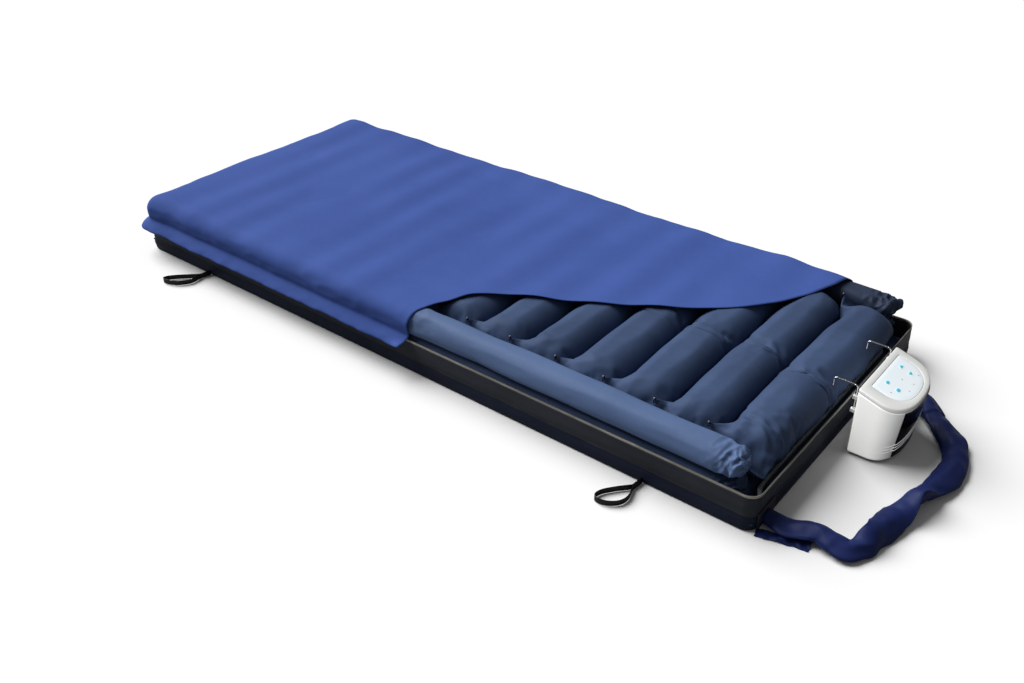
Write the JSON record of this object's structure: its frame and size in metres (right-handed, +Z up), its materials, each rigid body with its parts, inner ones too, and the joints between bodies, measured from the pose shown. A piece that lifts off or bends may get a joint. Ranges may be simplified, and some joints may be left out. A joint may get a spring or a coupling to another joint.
{
  "type": "pressure relief mattress",
  "caption": "Alternating-air pressure relief mattress shown with its cover cut away over the air cells and side bolsters, with a hose sleeve to a hook-on bedside pump.",
  "frame": {"origin": "centre of the base cover underside, on the surface that the mattress and the pump stand on", "axes": "+X along the length to the foot end and the pump, +Y across to the far side, +Z up"},
  "size_m": [2.2877, 1.0756, 0.178],
  "materials": {
    "cover_fabric": "soft blue stretch coated fabric",
    "base_fabric": "dark coated base fabric",
    "zip_tape": "woven grey zip tape",
    "zip_plastic": "moulded zip slider",
    "cell_fabric": "welded navy coated nylon",
    "bolster_fabric": "welded blue coated nylon",
    "webbing": "woven black webbing",
    "sleeve_fabric": "crumpled navy fabric",
    "air_hose": "smooth clear-grey tube",
    "pump_white": "smooth white moulding",
    "lid_grey": "fine warm grey moulding",
    "gloss_black": "high gloss black",
    "panel_film": "pale printed film",
    "key_film": "pale blue key film",
    "hook_chrome": "bright chrome wire",
    "dark_plastic": "black moulded plastic",
    "rubber": "black rubber",
    "steel": "plain steel",
    "brass": "turned brass",
    "board": "green circuit board"
  },
  "bodies": {
    "mattress_and_pump": {"base_cover": "base_fabric", "zip_tape": "zip_tape", "top_cover": "cover_fabric", "base_pad": "cell_fabric", "lower_bolster_near": "cell_fabric", "lower_bolster_far": "cell_fabric", "upper_bolster_near": "bolster_fabric", "upper_bolster_far": "bolster_fabric", "air_cell_01": "cell_fabric", "air_cell_02": "cell_fabric", "air_cell_03": "cell_fabric", "air_cell_04": "cell_fabric", "air_cell_05": "cell_fabric", "air_cell_06": "cell_fabric", "air_cell_07": "cell_fabric", "air_cell_08": "cell_fabric", "air_cell_09": "cell_fabric", "air_cell_10": "cell_fabric", "air_cell_11": "cell_fabric", "air_cell_12": "cell_fabric", "air_cell_13": "cell_fabric", "air_cell_14": "cell_fabric", "air_cell_15": "cell_fabric", "strap_loop_head_near": "webbing", "strap_loop_head_far": "webbing", "strap_loop_foot_near": "webbing", "strap_loop_foot_far": "webbing", "air_line_a": "air_hose", "air_line_b": "air_hose", "valve_body": "dark_plastic", "outlet_collar": "dark_plastic", "hose_sleeve": "sleeve_fabric", "hose_coupling": "dark_plastic", "hose_flap": "sleeve_fabric", "pump_case": "pump_white", "back_plate": "pump_white", "pump_lid": "lid_grey", "control_panel": "panel_film", "front_panel": "gloss_black", "mains_inlet": "dark_plastic", "compressor_body": "steel", "compressor_mount": "rubber", "distributor_motor": "steel", "air_distributor": "dark_plastic", "circuit_board": "board", "air_port": "dark_plastic", "pump_foot_back": "rubber", "pump_foot_front": "rubber"},
    "hook_near": {"wire_hook_near": "hook_chrome"},
    "hook_far": {"wire_hook_far": "hook_chrome"},
    "rocker": {"power_rocker": "dark_plastic"},
    "slider": {"zip_slider": "zip_plastic"},
    "valve_knob": {"valve_knob": "dark_plastic"},
    "rotor": {"distributor_rotor": "brass"},
    "armature": {"compressor_armature": "brass"},
    "key_1": {"panel_key_1": "key_film"},
    "key_2": {"panel_key_2": "key_film"},
    "key_3": {"panel_key_3": "key_film"},
    "key_4": {"panel_key_4": "key_film"}
  },
  "joints": [
    {"name": "hook_near_fold", "type": "hinge", "parent": "mattress_and_pump", "child": "hook_near", "pos_m": [1.0325, -0.051, 0.14], "axis": [0, 0, 1], "range_deg": [-90, 0]},
    {"name": "hook_far_fold", "type": "hinge", "parent": "mattress_and_pump", "child": "hook_far", "pos_m": [1.0325, 0.133, 0.14], "axis": [0, 0, 1], "range_deg": [0, 90]},
    {"name": "key_1_press", "type": "slide", "parent": "mattress_and_pump", "child": "key_1", "axis": [-0.3011, 0, -0.9536], "range_m": [0, 0.0005], "stiffness_N_per_m": 600, "springref_m": -0.0002},
    {"name": "key_2_press", "type": "slide", "parent": "mattress_and_pump", "child": "key_2", "axis": [-0.3011, 0, -0.9536], "range_m": [0, 0.0005], "stiffness_N_per_m": 600, "springref_m": -0.0002},
    {"name": "key_3_press", "type": "slide", "parent": "mattress_and_pump", "child": "key_3", "axis": [-0.3011, 0, -0.9536], "range_m": [0, 0.0005], "stiffness_N_per_m": 600, "springref_m": -0.0002},
    {"name": "key_4_press", "type": "slide", "parent": "mattress_and_pump", "child": "key_4", "axis": [-0.3011, 0, -0.9536], "range_m": [0, 0.0005], "stiffness_N_per_m": 600, "springref_m": -0.0002},
    {"name": "rocker_tilt", "type": "hinge", "parent": "mattress_and_pump", "child": "rocker", "pos_m": [1.04, 0.073, 0.045], "axis": [0, 1, 0], "range_deg": [0, 14]},
    {"name": "slider_run", "type": "slide", "parent": "mattress_and_pump", "child": "slider", "axis": [-1, 0, 0], "range_m": [0, 0.9]},
    {"name": "valve_knob_turn", "type": "hinge", "parent": "mattress_and_pump", "child": "valve_knob", "pos_m": [-1.0038, 0.25, 0.0565], "axis": [-1, 0, 0], "range_deg": [0, 90]},
    {"name": "rotor_spin", "type": "hinge", "parent": "mattress_and_pump", "child": "rotor", "pos_m": [1.085, 0.081, 0.0433], "axis": [0, 0, 1], "continuous": true},
    {"name": "armature_stroke", "type": "slide", "parent": "mattress_and_pump", "child": "armature", "axis": [0, 1, 0], "range_m": [-0.001, 0.001], "stiffness_N_per_m": 2000}
  ]
}
